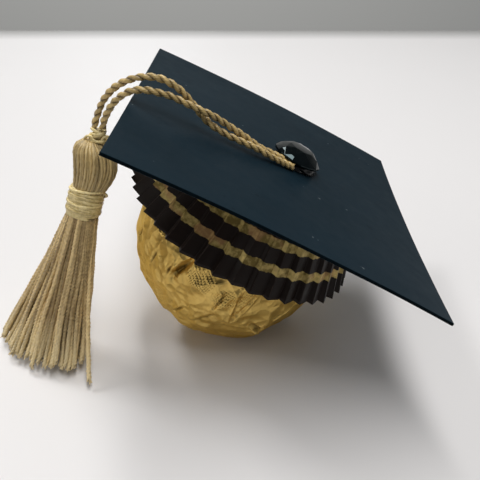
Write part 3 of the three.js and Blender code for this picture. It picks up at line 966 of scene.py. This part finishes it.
def add_card(look):
    """The square card, with its edges cut a little soft."""
    half = CARD_SIDE / 2
    chamfer = 0.07 * MM
    cells = 56
    spread = np.concatenate([[-half], np.linspace(chamfer - half, half - chamfer, cells + 1), [half]])
    n = len(spread)
    c, s = math.cos(CARD_TURN), math.sin(CARD_TURN)
    points, edges = [], []
    for face in (1, -1):
        for i, x in enumerate(spread):
            for j, y in enumerate(spread):
                rim = i in (0, n - 1) or j in (0, n - 1)
                nick = 0.02 * MM * noise.noise(Vector((x, y, face)) * 2500) if rim else 0
                thick = CARD_THICK / 2 - (chamfer if rim else 0)
                up = card_warp(x, y) + face * thick
                x_out, y_out = x * (1 + nick / half), y * (1 + nick / half)
                points.append(on_cap(c * x_out - s * y_out, s * x_out + c * y_out, up))
                edges.append(1.0 if rim else 0.0)
    faces = []
    for layer in (0, 1):
        base = layer * n * n
        for i in range(n - 1):
            for j in range(n - 1):
                here = base + i * n + j
                quad = [here, here + n, here + n + 1, here + 1]
                faces.append(quad if layer == 0 else quad[::-1])
    rim = [(i, 0) for i in range(n - 1)] + [(n - 1, j) for j in range(n - 1)]
    rim += [(i, n - 1) for i in range(n - 1, 0, -1)] + [(0, j) for j in range(n - 1, 0, -1)]
    for (i, j), (k, m) in zip(rim, rim[1:] + rim[:1]):
        a, b = i * n + j, k * n + m
        faces.append((b, a, a + n * n, b + n * n))
    piece = add_piece("square_card", points, faces, look, {"edge": edges}, smooth_below=30)
    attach(piece, "cap")
    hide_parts("mortarboard_card")


# ---- the gem ----
GEM_SIDES = 8


def polygon(count, radius, height, turn=0.0):
    angles = [TURN * (k + turn) / count for k in range(count)]
    return [(radius * math.cos(angle), radius * math.sin(angle), height) for angle in angles]


def add_gem(look):
    """A faceted stone with a flat back: a table, star and kite facets, and a narrow girdle."""
    corners = polygon(GEM_SIDES, GEM_TABLE_R, GEM_HEIGHT) + polygon(GEM_SIDES, *GEM_BREAK, 0.5)
    corners += polygon(2 * GEM_SIDES, GEM_R, GEM_GIRDLE)
    corners += polygon(2 * GEM_SIDES, GEM_R, 0.12 * MM)
    corners += polygon(2 * GEM_SIDES, GEM_R - 0.15 * MM, 0)
    stone = bmesh.new()
    for corner in corners:
        stone.verts.new(corner)
    bmesh.ops.convex_hull(stone, input=stone.verts)
    bmesh.ops.dissolve_limit(stone, angle_limit=math.radians(1), verts=stone.verts, edges=stone.edges)
    bmesh.ops.bevel(
        stone, geom=list(stone.edges), offset=0.05 * MM, segments=2, profile=0.5, affect="EDGES",
        clamp_overlap=True,
    )
    stone.verts.index_update()
    local = Matrix.Rotation(-GEM_TILT, 3, "X")
    points = []
    for v in stone.verts:
        p = local @ v.co
        points.append(on_cap(GEM_AT[0] + p.x, GEM_AT[1] + p.y, GEM_AT[2] + p.z))
    faces = [[v.index for v in f.verts] for f in stone.faces]
    stone.free()
    piece = add_piece("faceted_gem", points, faces, look, smooth_below=14)
    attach(piece, "cap")
    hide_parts("gem_button")


def add_gem_glue(look):
    """The set glue under the gem: a glossy lump that has flowed a little past it, round the cord's ends."""
    rows, around = 14, 48
    points = []
    for row in range(rows + 1):
        share = row / rows
        for k in range(around):
            angle = TURN * k / around
            lump = 1 + 0.06 * noise.noise(Vector((2 * math.cos(angle), 2 * math.sin(angle), 2 * share)))
            reach = GLUE_R * lump * (1 - 0.1 * share**2)
            up = 0.5 * CARD_THICK + GLUE_HEIGHT * share
            across = GLUE_AT[0] + reach * math.cos(angle)
            points.append(on_cap(across, GLUE_AT[1] + reach * math.sin(angle), up))
    faces = []
    for row in range(rows):
        for k in range(around):
            here, there, n = row * around, (row + 1) * around, (k + 1) % around
            faces.append((here + k, here + n, there + n, there + k))
    faces.append(tuple(reversed(range(around))))
    faces.append(tuple(rows * around + k for k in range(around)))
    piece = add_piece("gem_glue", points, faces, look)
    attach(piece, "cap")
    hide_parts("glue_drop_gem")


# ---- what stays as the CAD made it ----
def dress_cad_nodes(glue):
    wafer = wafer_look()
    looks = {
        "glue_disc_card": glue,
        "chocolate_coating": chocolate_look(),
        "wafer_shell_upper": wafer,
        "wafer_shell_lower": wafer,
        "cream_filling": cream_look(),
        "hazelnut": nut_look(),
    }
    for node, material in looks.items():
        slots = frame["nodes"][node].data.materials
        slots.clear()
        slots.append(material)


# ---- the stage ----
TABLE_BACK = 0.244
TABLE_FADE = 0.022
WALL_BACK = 0.5
ROOM_HALF = 1.5


def add_plane(name, corners, colour, roughness, far=None):
    """A large flat sheet. With a far colour, it fades to that just before the table's back edge: painted
    shade where that edge would turn away from the light.
    """
    look = Look(name)
    body = look.blend(look.noise(9, 2), colour, tuple(0.985 * c for c in colour[:3]) + (1.0,))
    if far:
        parts = look.tree.nodes.new("ShaderNodeSeparateXYZ")
        look.put(parts.inputs[0], look.place)
        body = look.blend(look.remap(parts.outputs["Y"], TABLE_BACK - TABLE_FADE, TABLE_BACK), body, far)
    look.colour(body)
    look.shader.inputs["Roughness"].default_value = roughness
    piece = add_piece(name, corners, [(0, 1, 2, 3)], look.material)


def add_stage():
    half = ROOM_HALF
    table = [(-half, -half, 0), (half, -half, 0), (half, TABLE_BACK, 0), (-half, TABLE_BACK, 0)]
    # The table's far colour is painted shade along its back edge.
    add_plane("table", table, (0.79, 0.78, 0.785, 1), 0.5, far=(0.3, 0.3, 0.295, 1))
    low, high = -0.5, 1.0
    wall = [(x, WALL_BACK, z) for x, z in ((-half, low), (half, low), (half, high), (-half, high))]
    add_plane("wall", wall, (0.78, 0.785, 0.76, 1), 0.9)


def add_area_light(name, place, target, size, power, colour):
    data = bpy.data.lights.new(name, "AREA")
    data.shape = "RECTANGLE"
    data.size, data.size_y = size
    data.energy = power
    data.color = colour
    light = bpy.data.objects.new(name, data)
    light.location = place
    light.rotation_euler = (Vector(target) - Vector(place)).to_track_quat("-Z", "Y").to_euler()
    bpy.context.scene.collection.objects.link(light)


def add_lights():
    add_area_light("ceiling", (0.05, 0.015, 0.5), (0, 0, 0), (0.6, 0.08), 2.1, (1.0, 0.985, 0.965))
    add_area_light("window", (-0.3, 0.27, 0.5), (0, 0, 0), (0.16, 0.1), 1.05, (1.0, 0.99, 0.98))
    add_area_light("far_window", (-0.1, 0.45, 0.15), (0, 0, 0.03), (0.12, 0.06), 0.08, (0.93, 0.97, 1.0))
    add_area_light("side_window", (-0.5, -0.16, 0.24), (0, 0, 0.02), (0.4, 0.3), 0.46, (1.0, 0.97, 0.92))
    world = bpy.data.worlds.new("room")
    world.use_nodes = True
    sky = world.node_tree.nodes["Background"]
    sky.inputs["Color"].default_value = (0.94, 0.96, 1.0, 1)
    sky.inputs["Strength"].default_value = 0.15
    bpy.context.scene.world = world
    bpy.context.scene.view_settings.view_transform = "Standard"


# ---- putting it together ----
add_camera()
CORD_LOOK = thread_look("gold_cord", (104, 84, 46), (222, 192, 126), (216, 190, 128), 0.24)
THREAD_LOOK = thread_look("gold_thread", (142, 121, 78), (210, 184, 126), (236, 208, 148), 0.36)
SKIRT_LOOK = thread_look("cut_gold_thread", (146, 121, 78), (240, 211, 152), (250, 230, 178), 0.34)
BINDING_LOOK = thread_look("binding_thread", (166, 143, 86), (250, 230, 168), (240, 216, 152), 0.2)
add_cord_leg("cord_leg_outer", "cord_outer_leg", OUTER_LEG, 0.0, CORD_LOOK)
add_cord_leg("cord_leg_inner", "cord_inner_leg", INNER_LEG, 1.3, CORD_LOOK)
add_tie(BINDING_LOOK)
add_head(THREAD_LOOK)
add_binding(BINDING_LOOK)
add_skirt(SKIRT_LOOK)
add_foil(foil_look())
add_cup(cup_look())
add_card(card_look())
add_gem(gem_look())
GLUE_LOOK = glue_look()
add_gem_glue(GLUE_LOOK)
dress_cad_nodes(GLUE_LOOK)
add_stage()
add_lights()
